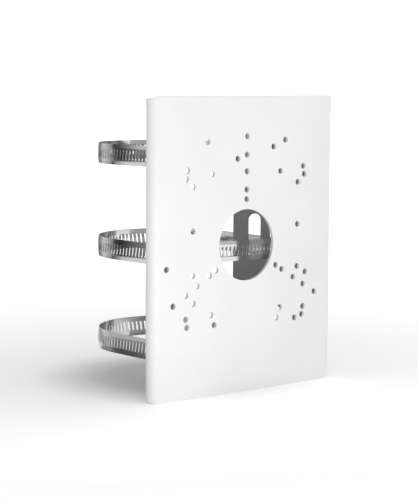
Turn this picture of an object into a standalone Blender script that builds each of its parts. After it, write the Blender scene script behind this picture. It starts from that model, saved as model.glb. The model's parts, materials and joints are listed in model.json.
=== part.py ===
"""Pole mount bracket for a camera: a folded sheet plate that three worm-drive band clamps hold to a pole.

Sizes are in metres. X runs to the right across the plate, Y away from its face, Z up from its lower edge.
The origin is under the middle of the bracket, on the surface that its lower edge stands on.
"""

import math

import bmesh
import bpy
from mathutils import Vector

# Folded sheet
PLATE_WIDTH = 0.148
PLATE_HEIGHT = 0.184
SHEET = 0.002
BEND_RADIUS = 0.005
WING_ANGLE = math.radians(31)
WING_LENGTH = 0.0573
WING_EDGE_DROP = 0.0016
BEND_STEPS = 9

# Openings in the sheet
CABLE_HOLE_DIAMETER = 0.0444
SCREW_HOLE_DIAMETER = 0.0038
SLOT_WIDTH = 0.008
SLOT_HEIGHT = 0.0295
SLOT_ROW_PITCH = 0.0605
SLOT_ROW_LIFT = 0.0009
INNER_SLOT_TO_EDGE = 0.0139
SLOT_SPACING = 0.0142
CABLE_HOLE_SIDES = 48
SCREW_HOLE_SIDES = 10
SLOT_SIDES = 14

# Screw holes for camera bases: circles of three as (radius, bearing of the first hole in degrees)
THREE_HOLE_CIRCLES = (
    (0.0285, 90),
    (0.0344, 90),
    (0.04575, 90),
    (0.0560, 90),
    (0.0674, 90),
    (0.0542, 98),
    (0.0644, 70),
)
# Rectangles of four, and pairs as (distance apart, height over the cable hole)
FOUR_HOLE_RECTANGLES = ((0.0953, 0.0953), (0.0970, 0.0851))
HOLE_PAIRS = ((0.0638, 0.06465), (0.0562, 0.04505), (0.0571, -0.0415), (0.0518, -0.04795))
SIDE_ROW_SPACING = 0.0861
SIDE_ROW_PITCH = 0.0269
SIDE_ROW_CENTRE = 0.01075
SIDE_ROWS = 3

# Band of each clamp
POLE_DIAMETER = 0.0889
LOOP_SLACK = 0.0013
BAND_WIDTH = 0.013
BAND_THICKNESS = 0.0007
LAYER_GAP = 0.00035
BAND_CORNER_RADIUS = 0.0045
BAND_SLOT_OFFSET = 0.0018
BAND_REST_GAP = 0.0004
BAND_RIPPLE = 0.0014
BAND_HEAD_LENGTH = 0.006
BAND_TAIL_LENGTH = 0.018
PLAIN_LENGTH = 0.085
PLAIN_STEP = 0.006

# Perforations of the band, cut on the slant of the worm that drives them
PERFORATION_PITCH = 0.003175
PERFORATION_LENGTH = 0.0061
PERFORATION_WIDTH = 0.0014

# Worm housing and saddle of each clamp
HOUSING_BEARING = math.radians(42)
LIFT_START = math.radians(43)
LIFT_END = math.radians(14)
HOUSING_LENGTH = 0.014
HOUSING_SHEET = 0.0007
SADDLE_SHEET = 0.0006
SADDLE_FLANGE = 0.0036
FIT_GAP = 0.0003
SHOULDER_RADIUS = 0.0011
TUNNEL_OPENING = math.radians(26)
TUNNEL_STEPS = 7
SHOULDER_STEPS = 3
SADDLE_COLUMNS = 7

# Worm screw
WORM_RADIUS = 0.0036
WORM_ROOT_RADIUS = 0.0026
WORM_LENGTH = 0.0125
WORM_STEPS_PER_TURN = 4
THREAD_SHARE = 0.5
COLLAR_LENGTH = 0.001
HEX_ACROSS_FLATS = 0.007
HEX_LENGTH = 0.005
HEX_CHAMFER = 0.0005
DRIVER_SLOT_WIDTH = 0.0011
DRIVER_SLOT_DEPTH = 0.0018
SCREW_SIDES = 16

LEVELS = ("bottom", "middle", "top")
MERGE_DISTANCE = 0.00001
SMOOTH_ANGLE = math.radians(35)

# Sizes that follow from those above
BEND_MID_RADIUS = BEND_RADIUS - SHEET / 2
BEND_CENTRE_X = PLATE_WIDTH / 2 - BEND_RADIUS
BEND_SWEEP = math.pi - WING_ANGLE
WING_DIRECTION = Vector((-math.cos(WING_ANGLE), math.sin(WING_ANGLE)))
WING_NORMAL = Vector((math.sin(WING_ANGLE), math.cos(WING_ANGLE)))
WING_START = Vector(
    (
        BEND_CENTRE_X + BEND_MID_RADIUS * math.sin(BEND_SWEEP),
        BEND_MID_RADIUS - BEND_MID_RADIUS * math.cos(BEND_SWEEP),
    )
)
PLATE_CENTRE_Z = PLATE_HEIGHT / 2
CUTTER_DEPTH = 3 * SHEET
INNER_SLOT_RUN = WING_LENGTH - INNER_SLOT_TO_EDGE
OUTER_SLOT_RUN = INNER_SLOT_RUN - SLOT_SPACING

POLE_RADIUS = POLE_DIAMETER / 2
REAR_CORNER = WING_START + WING_DIRECTION * WING_LENGTH + WING_NORMAL * (SHEET / 2)
POLE_AXIS_Y = REAR_CORNER.y + math.sqrt(POLE_RADIUS**2 - REAR_CORNER.x**2)
BAND_LAYER = BAND_THICKNESS + LAYER_GAP
INNER_LOOP_RADIUS = POLE_RADIUS + LOOP_SLACK + BAND_THICKNESS / 2
OUTER_LOOP_RADIUS = INNER_LOOP_RADIUS + BAND_LAYER
PERFORATION_SLANT = math.atan(
    PERFORATION_PITCH / (math.pi * (WORM_RADIUS + WORM_ROOT_RADIUS))
)

DEPTH = POLE_AXIS_Y + INNER_LOOP_RADIUS + BAND_THICKNESS / 2 + SHEET / 2
SADDLE_RADIUS = INNER_LOOP_RADIUS - BAND_THICKNESS / 2 - FIT_GAP - SADDLE_SHEET / 2
SADDLE_HALF_WIDTH = BAND_WIDTH / 2 + FIT_GAP + SADDLE_SHEET / 2
SADDLE_ANGLE = HOUSING_LENGTH / SADDLE_RADIUS
WORM_AXIS_RADIUS = OUTER_LOOP_RADIUS + BAND_THICKNESS / 2 + FIT_GAP + WORM_RADIUS
TUNNEL_RADIUS = WORM_RADIUS + FIT_GAP + HOUSING_SHEET / 2
HOUSING_HALF_WIDTH = SADDLE_HALF_WIDTH + SADDLE_SHEET / 2 + FIT_GAP + HOUSING_SHEET / 2
SKIRT_RADIUS = SADDLE_RADIUS
COLLAR_RADIUS = WORM_RADIUS + 2 * FIT_GAP
NECK_RADIUS = WORM_ROOT_RADIUS


def clear_scene():
    for obj in list(bpy.data.objects):
        bpy.data.objects.remove(obj, do_unlink=True)


def new_collection(name):
    collection = bpy.data.collections.new(name)
    bpy.context.scene.collection.children.link(collection)
    return collection


def principled(name, colour, roughness, metallic):
    material = bpy.data.materials.new(name)
    material.use_nodes = True
    shader = material.node_tree.nodes["Principled BSDF"]
    shader.inputs["Base Color"].default_value = (*colour, 1)
    shader.inputs["Roughness"].default_value = roughness
    shader.inputs["Metallic"].default_value = metallic
    return material


def mesh_from(bm, name):
    mesh = bpy.data.meshes.new(name)
    bm.to_mesh(mesh)
    bm.free()
    return mesh


def place(name, mesh, collection, material=None):
    obj = bpy.data.objects.new(name, mesh)
    collection.objects.link(obj)
    if material and not mesh.materials:
        mesh.materials.append(material)
    return obj


def place_cutter(name, mesh, collection):
    obj = place(name, mesh, collection)
    obj.hide_render = True
    obj.display_type = "WIRE"
    return obj


def add_solidify(obj, thickness):
    modifier = obj.modifiers.new("thickness", "SOLIDIFY")
    modifier.thickness = thickness
    modifier.offset = 0
    modifier.use_even_offset = True


def add_mirror(obj, axis):
    modifier = obj.modifiers.new("other half", "MIRROR")
    modifier.use_axis = (axis == "X", axis == "Y", axis == "Z")
    modifier.use_mirror_merge = True
    modifier.merge_threshold = MERGE_DISTANCE


def add_cut(obj, cutter):
    modifier = obj.modifiers.new(cutter.name, "BOOLEAN")
    modifier.operation = "DIFFERENCE"
    modifier.solver = "EXACT"
    modifier.object = cutter


def shade_round(mesh):
    mesh.shade_smooth()
    mesh.set_sharp_from_angle(angle=SMOOTH_ANGLE)


def bearing(angle):
    return Vector((math.cos(angle), math.sin(angle)))


def wrapped_grid(columns, rows, position):
    """A surface with a vertex at position(column, row) for each crossing of a grid."""
    bm = bmesh.new()
    bmesh.ops.create_grid(bm, x_segments=columns - 1, y_segments=rows - 1, size=1)
    bm.verts.ensure_lookup_table()
    for index, vert in enumerate(bm.verts):
        row, column = divmod(index, columns)
        vert.co = position(column, row)
    return bm


# Folded sheet


def fold_outline():
    """The right half of the sheet's middle line from above, each point with its drop at the sheet's ends."""
    points = [(Vector((0, 0)), 0), (Vector((BEND_CENTRE_X, 0)), 0)]
    for step in range(1, BEND_STEPS + 1):
        turned = BEND_SWEEP * step / BEND_STEPS
        centre = Vector((BEND_CENTRE_X, BEND_MID_RADIUS))
        point = centre + BEND_MID_RADIUS * Vector((math.sin(turned), -math.cos(turned)))
        eased = math.sin(turned / BEND_SWEEP * math.pi / 2)
        points.append((point, WING_EDGE_DROP * eased))
    points.append((WING_START + WING_DIRECTION * WING_LENGTH, WING_EDGE_DROP))
    return points


def folded_sheet_mesh():
    bm = bmesh.new()
    outline = fold_outline()
    lower = [bm.verts.new((point.x, point.y, drop)) for point, drop in outline]
    edges = [bm.edges.new(pair) for pair in zip(lower, lower[1:])]
    made = bmesh.ops.extrude_edge_only(bm, edges=edges)["geom"]
    for vert in [item for item in made if isinstance(item, bmesh.types.BMVert)]:
        vert.co.z = PLATE_HEIGHT - vert.co.z
    return mesh_from(bm, "folded_sheet")


def hole_centres():
    """Centres of the screw holes on the plate, as X and height over the cable hole."""
    centres = []
    for radius, first in THREE_HOLE_CIRCLES:
        centres += [radius * bearing(math.radians(first + turn)) for turn in (0, 120, 240)]
    for width, height in FOUR_HOLE_RECTANGLES:
        centres += [Vector((x * width, z * height)) / 2 for x in (-1, 1) for z in (-1, 1)]
    pairs = list(HOLE_PAIRS)
    for row in range(SIDE_ROWS):
        rise = (row - (SIDE_ROWS - 1) / 2) * SIDE_ROW_PITCH
        pairs.append((SIDE_ROW_SPACING, SIDE_ROW_CENTRE + rise))
    for spacing, height in pairs:
        centres += [Vector((side * spacing / 2, height)) for side in (-1, 1)]
    return centres


def add_drill(bm, centre, diameter, sides):
    made = bmesh.ops.create_cone(
        bm,
        cap_ends=True,
        segments=sides,
        radius1=diameter / 2,
        radius2=diameter / 2,
        depth=CUTTER_DEPTH,
    )
    for vert in made["verts"]:
        across, height, depth = vert.co
        vert.co = (centre.x + across, -depth, PLATE_CENTRE_Z + centre.y + height)


def front_hole_cutter_mesh():
    bm = bmesh.new()
    add_drill(bm, Vector((0, 0)), CABLE_HOLE_DIAMETER, CABLE_HOLE_SIDES)
    for centre in hole_centres():
        add_drill(bm, centre, SCREW_HOLE_DIAMETER, SCREW_HOLE_SIDES)
    return mesh_from(bm, "front_holes")


def add_slot_block(bm, run, height, side):
    """A round-ended block through a wing: a drill pulled apart along Z to the slot's height."""
    half_face = math.pi / SLOT_SIDES
    radius = SLOT_WIDTH / 2 / math.cos(half_face)
    made = bmesh.ops.create_cone(
        bm, cap_ends=True, segments=SLOT_SIDES, radius1=radius, radius2=radius, depth=CUTTER_DEPTH
    )
    half_straight = (SLOT_HEIGHT - SLOT_WIDTH) / 2
    middle = WING_START + WING_DIRECTION * run
    for vert in made["verts"]:
        turned = bearing(math.atan2(vert.co.y, vert.co.x) + half_face) * radius
        along = turned.x
        rise = turned.y + math.copysign(half_straight, turned.y)
        spot = middle + WING_DIRECTION * along + WING_NORMAL * vert.co.z
        vert.co = (side * spot.x, spot.y, height + rise)


def slot_heights():
    centre = PLATE_CENTRE_Z + SLOT_ROW_LIFT
    return {
        level: centre + (index - 1) * SLOT_ROW_PITCH for index, level in enumerate(LEVELS)
    }


def wing_slot_cutter_mesh():
    bm = bmesh.new()
    for height in slot_heights().values():
        for run in (INNER_SLOT_RUN, OUTER_SLOT_RUN):
            for side in (-1, 1):
                add_slot_block(bm, run, height, side)
    bmesh.ops.recalc_face_normals(bm, faces=bm.faces)
    return mesh_from(bm, "wing_slots")


def build_plate(collection, cutters, material, frame):
    mesh = folded_sheet_mesh()
    shade_round(mesh)
    plate = place("mounting_plate", mesh, collection, material)
    plate.parent = frame
    add_mirror(plate, "X")
    add_solidify(plate, SHEET)
    for name, cutter_mesh in (
        ("wing_slots", wing_slot_cutter_mesh()),
        ("front_holes", front_hole_cutter_mesh()),
    ):
        cutter = place_cutter(name, cutter_mesh, cutters)
        cutter.parent = frame
        add_cut(plate, cutter)


# Band


class Arc:
    """A stretch that turns anticlockwise round a centre between two bearings, and may climb to another radius."""

    def __init__(self, centre, radius, start, end, end_radius=None):
        self.centre = centre
        self.radius = radius
        self.climb = (end_radius or radius) - radius
        self.start = start
        self.sweep = end - start
        self.length = (radius + self.climb / 2) * self.sweep

    def at(self, distance):
        part = distance / self.length
        radius = self.radius + self.climb * part * part * (3 - 2 * part)
        return self.centre + radius * bearing(self.start + self.sweep * part)


class Run:
    """A straight stretch between two points, or with a ripple, one that bows out twice along its way."""

    def __init__(self, start, end, facing, ripple=0):
        self.start = start
        self.facing = facing
        self.ripple = ripple
        self.length = (end - start).length
        self.direction = (end - start).normalized()

    def at(self, distance):
        wave = (1 - math.cos(4 * math.pi * distance / self.length)) / 2
        offset = self.ripple * wave * bearing(self.facing)
        return self.start + self.direction * distance + offset


def tangent_facing(from_centre, from_radius, to_centre, to_radius):
    """The bearing of the outer face on the straight run from one circle to the next, going anticlockwise."""
    gap = to_centre - from_centre
    heading = math.atan2(gap.y, gap.x) + math.asin((from_radius - to_radius) / gap.length)
    return heading - math.pi / 2


def corner_centres():
    """Centres of the turns that the band makes through the outer slots, seen from the pole's axis."""
    crossing = WING_START + WING_DIRECTION * (OUTER_SLOT_RUN + BAND_SLOT_OFFSET)
    centre = crossing + WING_DIRECTION * BAND_CORNER_RADIUS
    return [Vector((side * centre.x, centre.y - POLE_AXIS_Y)) for side in (-1, 1)]


def band_path():
    """The band's middle line as seen from below, where it turns anticlockwise.

    It runs from the head under the housing, through both wings, and round the pole to the tail over the head.
    """
    full_turn = 2 * math.pi
    axis = Vector((0, 0))
    left, right = corner_centres()
    radius = BAND_CORNER_RADIUS
    loop = INNER_LOOP_RADIUS
    housing = math.pi - HOUSING_BEARING
    leaves = tangent_facing(axis, loop, left, radius) % full_turn
    front = 3 * math.pi / 2
    returns = tangent_facing(right, radius, axis, loop) % full_turn
    again = housing + full_turn
    arcs = [
        Arc(axis, loop, housing - BAND_HEAD_LENGTH / loop, leaves),
        Arc(left, radius, leaves, front),
        Arc(right, radius, front, returns),
        Arc(axis, loop, returns, again - LIFT_START),
    ]
    path = []
    for before, after, facing in zip(arcs, arcs[1:], (leaves, front, returns)):
        start = before.at(before.length)
        ripple = BAND_RIPPLE if facing == front else 0
        path += [before, Run(start, after.at(0), facing, ripple)]
    path.append(arcs[-1])
    path.append(Arc(axis, loop, again - LIFT_START, again - LIFT_END, OUTER_LOOP_RADIUS))
    tail = again + BAND_TAIL_LENGTH / OUTER_LOOP_RADIUS
    path.append(Arc(axis, OUTER_LOOP_RADIUS, again - LIFT_END, tail))
    return path


def point_on(path, distance):
    for stretch in path:
        if distance <= stretch.length or stretch is path[-1]:
            return stretch.at(distance)
        distance -= stretch.length


def band_columns(length):
    """Distances of the band's cross lines, and the indices of the strips between them that are perforated."""
    count = int((length - PLAIN_LENGTH) / PERFORATION_PITCH)
    first = length - (count + 0.5) * PERFORATION_PITCH
    plain_steps = math.ceil(first / PLAIN_STEP)
    columns = [first * step / plain_steps for step in range(plain_steps)]
    perforated = set()
    for index in range(count):
        edge = first + index * PERFORATION_PITCH
        perforated.add(len(columns))
        columns += [edge, edge + PERFORATION_WIDTH]
    return columns + [length], perforated


def band_mesh():
    path = band_path()
    length = sum(stretch.length for stretch in path)
    columns, perforated = band_columns(length)
    heights = (-BAND_WIDTH / 2, -PERFORATION_LENGTH / 2, PERFORATION_LENGTH / 2, BAND_WIDTH / 2)
    lean = math.tan(PERFORATION_SLANT)

    def position(column, row):
        distance = columns[column]
        if 0 < column < len(columns) - 1 and row in (1, 2):
            distance -= heights[row] * lean
        spot = point_on(path, distance)
        return -spot.x, spot.y, heights[row]

    bm = wrapped_grid(len(columns), len(heights), position)
    bm.faces.ensure_lookup_table()
    strips = len(columns) - 1
    openings = [bm.faces[strips + column] for column in sorted(perforated)]
    bmesh.ops.delete(bm, geom=openings, context="FACES")
    mesh = mesh_from(bm, "band")
    shade_round(mesh)
    return mesh


def band_heights():
    """Height of each band's middle, with the band lying on the lower ends of its slots."""
    reach = BAND_SLOT_OFFSET + BAND_THICKNESS / 2 + (SHEET / 2) ** 2 / (2 * BAND_CORNER_RADIUS)
    slot_radius = SLOT_WIDTH / 2
    round_rise = slot_radius - math.sqrt(slot_radius**2 - reach**2)
    over_slot_end = round_rise + BAND_REST_GAP + BAND_WIDTH / 2
    return {
        level: height - SLOT_HEIGHT / 2 + over_slot_end
        for level, height in slot_heights().items()
    }


# Worm housing, saddle and screw


def housing_outline():
    """Half of the housing's middle line across the band, as (radius from the pole's axis, height)."""
    points = []
    sweep = math.pi / 2 + TUNNEL_OPENING
    for step in range(TUNNEL_STEPS + 1):
        turned = sweep * step / TUNNEL_STEPS
        rim = WORM_AXIS_RADIUS + TUNNEL_RADIUS * math.cos(turned)
        points.append(Vector((rim, TUNNEL_RADIUS * math.sin(turned))))
    shoulder = points[-1].x
    corner = Vector((shoulder - SHOULDER_RADIUS, HOUSING_HALF_WIDTH - SHOULDER_RADIUS))
    for step in range(SHOULDER_STEPS + 1):
        points.append(corner + SHOULDER_RADIUS * bearing(math.pi / 2 * step / SHOULDER_STEPS))
    points.append(Vector((SKIRT_RADIUS, HOUSING_HALF_WIDTH)))
    return points


def housing_mesh():
    bm = bmesh.new()
    row = [bm.verts.new((p.x, -HOUSING_LENGTH / 2, p.y)) for p in housing_outline()]
    edges = [bm.edges.new(pair) for pair in zip(row, row[1:])]
    made = bmesh.ops.extrude_edge_only(bm, edges=edges)["geom"]
    for vert in [item for item in made if isinstance(item, bmesh.types.BMVert)]:
        vert.co.y = HOUSING_LENGTH / 2
    mesh = mesh_from(bm, "housing")
    shade_round(mesh)
    return mesh


def saddle_mesh():
    """A plate bent to the loop, with a flange up each edge of the band."""
    rows = (
        (SADDLE_RADIUS + SADDLE_FLANGE, -SADDLE_HALF_WIDTH),
        (SADDLE_RADIUS, -SADDLE_HALF_WIDTH),
        (SADDLE_RADIUS, SADDLE_HALF_WIDTH),
        (SADDLE_RADIUS + SADDLE_FLANGE, SADDLE_HALF_WIDTH),
    )

    def position(column, row):
        radius, height = rows[row]
        spot = radius * bearing(SADDLE_ANGLE * (column / (SADDLE_COLUMNS - 1) - 0.5))
        return spot.x, spot.y, height

    mesh = mesh_from(wrapped_grid(SADDLE_COLUMNS, len(rows), position), "saddle")
    shade_round(mesh)
    return mesh


def worm_radius(turned, along):
    """Radius of the worm's surface: a ridge with flat top and root that runs round as a right-hand helix."""
    phase = (along / PERFORATION_PITCH - turned / (2 * math.pi)) % 1
    on_ridge = abs(phase - 0.5) < THREAD_SHARE / 2
    return WORM_RADIUS if on_ridge else WORM_ROOT_RADIUS


def hex_radius(turned, across_flats):
    sector = math.pi / 3
    return across_flats / 2 / math.cos((turned + sector / 2) % sector - sector / 2)


def screw_stations():
    """The screw's cross-sections from its plain end to its head, as (place along the axis, radius at an angle)."""
    half_housing = HOUSING_LENGTH / 2 + FIT_GAP
    half_worm = WORM_LENGTH / 2
    head_start = half_housing + COLLAR_LENGTH
    head_end = head_start + HEX_LENGTH
    stations = [
        (-half_housing - COLLAR_LENGTH, lambda turned: COLLAR_RADIUS),
        (-half_housing, lambda turned: COLLAR_RADIUS),
        (-half_housing, lambda turned: NECK_RADIUS),
        (-half_worm, lambda turned: NECK_RADIUS),
    ]
    steps = round(WORM_LENGTH / PERFORATION_PITCH * WORM_STEPS_PER_TURN)
    for step in range(1, steps):
        along = -half_worm + WORM_LENGTH * step / steps
        stations.append((along, lambda turned, along=along: worm_radius(turned, along)))
    stations += [
        (half_worm, lambda turned: NECK_RADIUS),
        (half_housing, lambda turned: NECK_RADIUS),
        (half_housing, lambda turned: COLLAR_RADIUS),
        (head_start, lambda turned: COLLAR_RADIUS),
        (head_start, lambda turned: hex_radius(turned, HEX_ACROSS_FLATS)),
        (head_end - HEX_CHAMFER, lambda turned: hex_radius(turned, HEX_ACROSS_FLATS)),
        (head_end, lambda turned: HEX_ACROSS_FLATS / 2 - HEX_CHAMFER / 2),
    ]
    return stations


def screw_mesh():
    stations = screw_stations()

    def position(column, row):
        turned = 2 * math.pi * column / SCREW_SIDES
        along, radius_at = stations[row]
        radius = radius_at(turned)
        return radius * math.sin(turned), along, radius * math.cos(turned)

    bm = wrapped_grid(SCREW_SIDES + 1, len(stations), position)
    bmesh.ops.remove_doubles(bm, verts=bm.verts, dist=MERGE_DISTANCE)
    bmesh.ops.holes_fill(bm, edges=bm.edges, sides=SCREW_SIDES)
    bmesh.ops.recalc_face_normals(bm, faces=bm.faces)
    mesh = mesh_from(bm, "screw")
    shade_round(mesh)
    return mesh


def driver_slot_mesh():
    bm = bmesh.new()
    bmesh.ops.create_cube(bm, size=1)
    head_end = HOUSING_LENGTH / 2 + FIT_GAP + COLLAR_LENGTH + HEX_LENGTH
    size = Vector((DRIVER_SLOT_WIDTH, 2 * DRIVER_SLOT_DEPTH, 2 * HEX_ACROSS_FLATS))
    for vert in bm.verts:
        vert.co = vert.co * size + Vector((0, head_end, 0))
    return mesh_from(bm, "driver_slot")


def add_empty(name, collection, parent=None, location=(0, 0, 0), turn=(0, 0, 0)):
    empty = bpy.data.objects.new(name, None)
    empty.parent = parent
    empty.location = location
    empty.rotation_euler = turn
    collection.objects.link(empty)
    return empty


def build_clamps(collection, cutters, materials, frame):
    """The three clamps share their meshes. Each hangs on an empty on the pole's axis."""
    meshes = {
        "band": band_mesh(),
        "housing": housing_mesh(),
        "saddle": saddle_mesh(),
        "screw": screw_mesh(),
    }
    slot_mesh = driver_slot_mesh()
    for level, height in band_heights().items():
        clamp = add_empty(level + "_clamp_frame", collection, frame, (0, POLE_AXIS_Y, height))
        turn = (math.pi, 0, HOUSING_BEARING)
        housing = add_empty(level + "_housing_frame", collection, clamp, turn=turn)
        worm_axis = (WORM_AXIS_RADIUS, 0, 0)
        worm = add_empty(level + "_worm_frame", collection, housing, worm_axis)
        for piece, mesh in meshes.items():
            name = level + "_clamp_" + piece
            obj = place(name, mesh, collection, materials[piece])
            obj.parent = {"band": clamp, "screw": worm}.get(piece, housing)
            if piece == "band":
                add_solidify(obj, BAND_THICKNESS)
            if piece == "saddle":
                add_solidify(obj, SADDLE_SHEET)
            if piece == "housing":
                add_mirror(obj, "Z")
                add_solidify(obj, HOUSING_SHEET)
            if piece == "screw":
                slot = place_cutter(level + "_driver_slot", slot_mesh, cutters)
                slot.parent = worm
                add_cut(obj, slot)


def build():
    clear_scene()
    parts = new_collection("camera_pole_mount_bracket")
    cutters = new_collection("cutters")
    white_powder_coat = principled("white_powder_coat", (0.86, 0.86, 0.86), 0.55, 0)
    stainless_band = principled("stainless_band", (0.56, 0.56, 0.55), 0.28, 1)
    stainless_pressing = principled("stainless_pressing", (0.60, 0.60, 0.59), 0.35, 1)
    zinc_screw = principled("zinc_screw", (0.66, 0.67, 0.68), 0.30, 1)
    frame = add_empty("bracket_frame", parts, location=(0, SHEET / 2 - DEPTH / 2, 0))
    build_plate(parts, cutters, white_powder_coat, frame)
    materials = {
        "band": stainless_band,
        "housing": stainless_pressing,
        "saddle": stainless_pressing,
        "screw": zinc_screw,
    }
    build_clamps(parts, cutters, materials, frame)


build()
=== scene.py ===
"""Looks of a camera pole mount bracket: a white folded sheet and three stainless worm-drive band clamps.

Lengths are in metres. X runs to the right across the sheet, Y from its face towards the pole, Z up.
"""

import json
import logging
import math
from collections.abc import Callable
from dataclasses import dataclass, field
from enum import Enum

import bpy
from mathutils import Matrix, Vector

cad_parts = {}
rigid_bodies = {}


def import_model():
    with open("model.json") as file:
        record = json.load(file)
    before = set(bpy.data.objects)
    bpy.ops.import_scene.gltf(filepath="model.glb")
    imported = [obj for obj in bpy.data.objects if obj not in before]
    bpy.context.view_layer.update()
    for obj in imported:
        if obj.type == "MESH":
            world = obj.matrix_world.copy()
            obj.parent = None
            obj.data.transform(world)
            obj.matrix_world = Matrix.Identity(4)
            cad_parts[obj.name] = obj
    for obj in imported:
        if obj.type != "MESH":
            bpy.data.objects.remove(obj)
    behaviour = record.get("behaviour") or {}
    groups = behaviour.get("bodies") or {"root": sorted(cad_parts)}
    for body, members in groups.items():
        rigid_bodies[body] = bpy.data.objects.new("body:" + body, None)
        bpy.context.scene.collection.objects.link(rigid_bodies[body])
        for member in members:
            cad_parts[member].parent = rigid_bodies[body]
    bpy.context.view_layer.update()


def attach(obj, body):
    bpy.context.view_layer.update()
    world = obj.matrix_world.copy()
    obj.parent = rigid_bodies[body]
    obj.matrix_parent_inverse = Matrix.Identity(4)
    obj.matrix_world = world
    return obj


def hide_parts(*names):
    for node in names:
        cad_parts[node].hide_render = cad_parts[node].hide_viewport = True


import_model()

LOG = logging.getLogger("bracket")
PHOTO_WIDTH = 418
PHOTO_HEIGHT = 500
WELD = 0.00001
FULL_TURN = 2 * math.pi
UPRIGHT = (math.pi / 2, 0, 0)
BLACK = (0, 0, 0, 1)
WHITE = (1, 1, 1, 1)

Object = bpy.types.Object
Material = bpy.types.Material
Socket = bpy.types.NodeSocket
Colour = tuple[float, float, float]
Pair = tuple[float, float]
Pairs = tuple[Pair, ...]
Triple = tuple[float, float, float]
Inputs = dict[str | int, object]


class Level(Enum):
    """The three clamps by their place on the pole, with how many rows each lies above the middle one."""

    TOP = 1
    MIDDLE = 0
    BOTTOM = -1

    @property
    def word(self) -> str:
        """The level's name as the part's nodes and bodies spell it."""
        return self.name.lower()


class Slot(Enum):
    """The record's material slots."""

    POWDER_COAT = "powder_coat"
    BAND_STEEL = "band_steel"
    PRESSING_STEEL = "pressing_steel"
    SCREW_STEEL = "screw_steel"


def activate(obj: Object) -> None:
    """Select one object alone and make it active.

    Args:
        obj: The object to work on.
    """
    for other in bpy.context.view_layer.objects:
        other.select_set(other == obj)
    bpy.context.view_layer.objects.active = obj


def add_object(name: str, data: bpy.types.ID) -> Object:
    """Put an object with some data into the scene.

    Args:
        name: The object's name.
        data: Its light, camera, curve or mesh.

    Returns:
        The new object.
    """
    obj = bpy.data.objects.new(name, data)
    bpy.context.scene.collection.objects.link(obj)
    return obj


def start_piece(name: str) -> Object:
    """Name the primitive that was just added.

    Args:
        name: The piece's name.

    Returns:
        The new object.
    """
    obj = bpy.context.object
    obj.name = obj.data.name = name
    return obj


def bake_place(scale: Triple = (1, 1, 1)) -> None:
    """Scale the active object, then put its place, turn and scale into its mesh."""
    bpy.context.object.scale = scale
    bpy.ops.object.transform_apply(location=True, rotation=True, scale=True)


def edit(on: bool = True) -> None:
    """Enter edit mode, or leave it."""
    bpy.ops.object.mode_set(mode="EDIT" if on else "OBJECT")


def shift(x: float = 0, y: float = 0, z: float = 0) -> None:
    """Move what is selected in edit mode."""
    bpy.ops.transform.translate(value=(x, y, z))


def pull(x: float = 0, y: float = 0, z: float = 0) -> None:
    """Extrude what is selected in edit mode."""
    bpy.ops.mesh.extrude_region_move(TRANSFORM_OT_translate={"value": (x, y, z)})


def pick(obj: Object, mode: str, rule: Callable[[Vector], bool]) -> None:
    """Select, in edit mode, the vertices, edges or faces whose middle passes a rule.

    Args:
        obj: The object being edited.
        mode: VERT, EDGE or FACE.
        rule: Tells whether a point is wanted.
    """
    bpy.ops.mesh.select_mode(type=mode)
    bpy.ops.mesh.select_all(action="DESELECT")
    edit(False)
    mesh = obj.data
    groups = {"VERT": mesh.vertices, "EDGE": mesh.edges, "FACE": mesh.polygons}
    for item in groups[mode]:
        points = [item.co] if mode == "VERT" else [mesh.vertices[i].co for i in item.vertices]
        item.select = rule(sum(points, Vector()) / len(points))
    edit()


def apply_modifier(obj: Object, kind: str, **settings: object) -> None:
    """Add a modifier, set it and apply it at once.

    Args:
        obj: The object that takes the modifier.
        kind: Blender's name of the modifier's type.
        **settings: The modifier's own properties.
    """
    activate(obj)
    modifier = obj.modifiers.new(kind.lower(), kind)
    for key, value in settings.items():
        setattr(modifier, key, value)
    bpy.ops.object.modifier_apply(modifier=modifier.name)


def thicken(obj: Object, thickness: float) -> None:
    """Give an open surface its wall, half to each side."""
    apply_modifier(obj, "SOLIDIFY", thickness=thickness, offset=0, use_even_offset=True)


def soften_edges(obj: Object, width: float, segments: int = 2, angle: float = 40) -> None:
    """Shade the piece smooth and round its sharp edges, with the flat faces kept flat to the eye.

    Args:
        obj: The finished solid.
        width: How far the round reaches from the edge.
        segments: Faces across each round.
        angle: The least turn, in degrees, that counts as sharp.
    """
    activate(obj)
    bpy.ops.object.shade_smooth_by_angle(angle=math.radians(angle))
    apply_modifier(
        obj,
        "BEVEL",
        width=width,
        segments=segments,
        limit_method="ANGLE",
        angle_limit=math.radians(angle),
        use_clamp_overlap=True,
        harden_normals=True,
    )


def apply_place(obj: Object, place: Matrix) -> None:
    """Move a piece to its place and put that place into its mesh.

    Args:
        obj: The piece, modelled about its own origin.
        place: Where the piece goes in the part's frame.
    """
    obj.matrix_world = place
    activate(obj)
    bake_place()


def heal(obj: Object) -> None:
    """Merge doubled points and turn every face outwards.

    Args:
        obj: The piece to clean.
    """
    activate(obj)
    edit()
    bpy.ops.mesh.select_all(action="SELECT")
    bpy.ops.mesh.remove_doubles(threshold=WELD)
    bpy.ops.mesh.normals_make_consistent(inside=False)
    edit(False)


def copy_of(obj: Object, name: str, place: Matrix) -> Object:
    """Copy a piece with its own mesh and put it in place.

    Args:
        obj: The piece that is copied.
        name: The copy's name.
        place: Where the copy goes in the part's frame.

    Returns:
        The copy.
    """
    copy = add_object(name, obj.data.copy())
    copy.data.name = name
    copy.data.transform(place)
    return copy


def remove(obj: Object) -> None:
    """Delete a helper or a pattern piece."""
    bpy.data.objects.remove(obj, do_unlink=True)


def join(first: Object, others: list[Object]) -> None:
    """Join pieces into one mesh.

    Args:
        first: The piece that takes up the others.
        others: The pieces that go into it.
    """
    activate(first)
    for other in others:
        other.select_set(True)
    bpy.ops.object.join()


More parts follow.
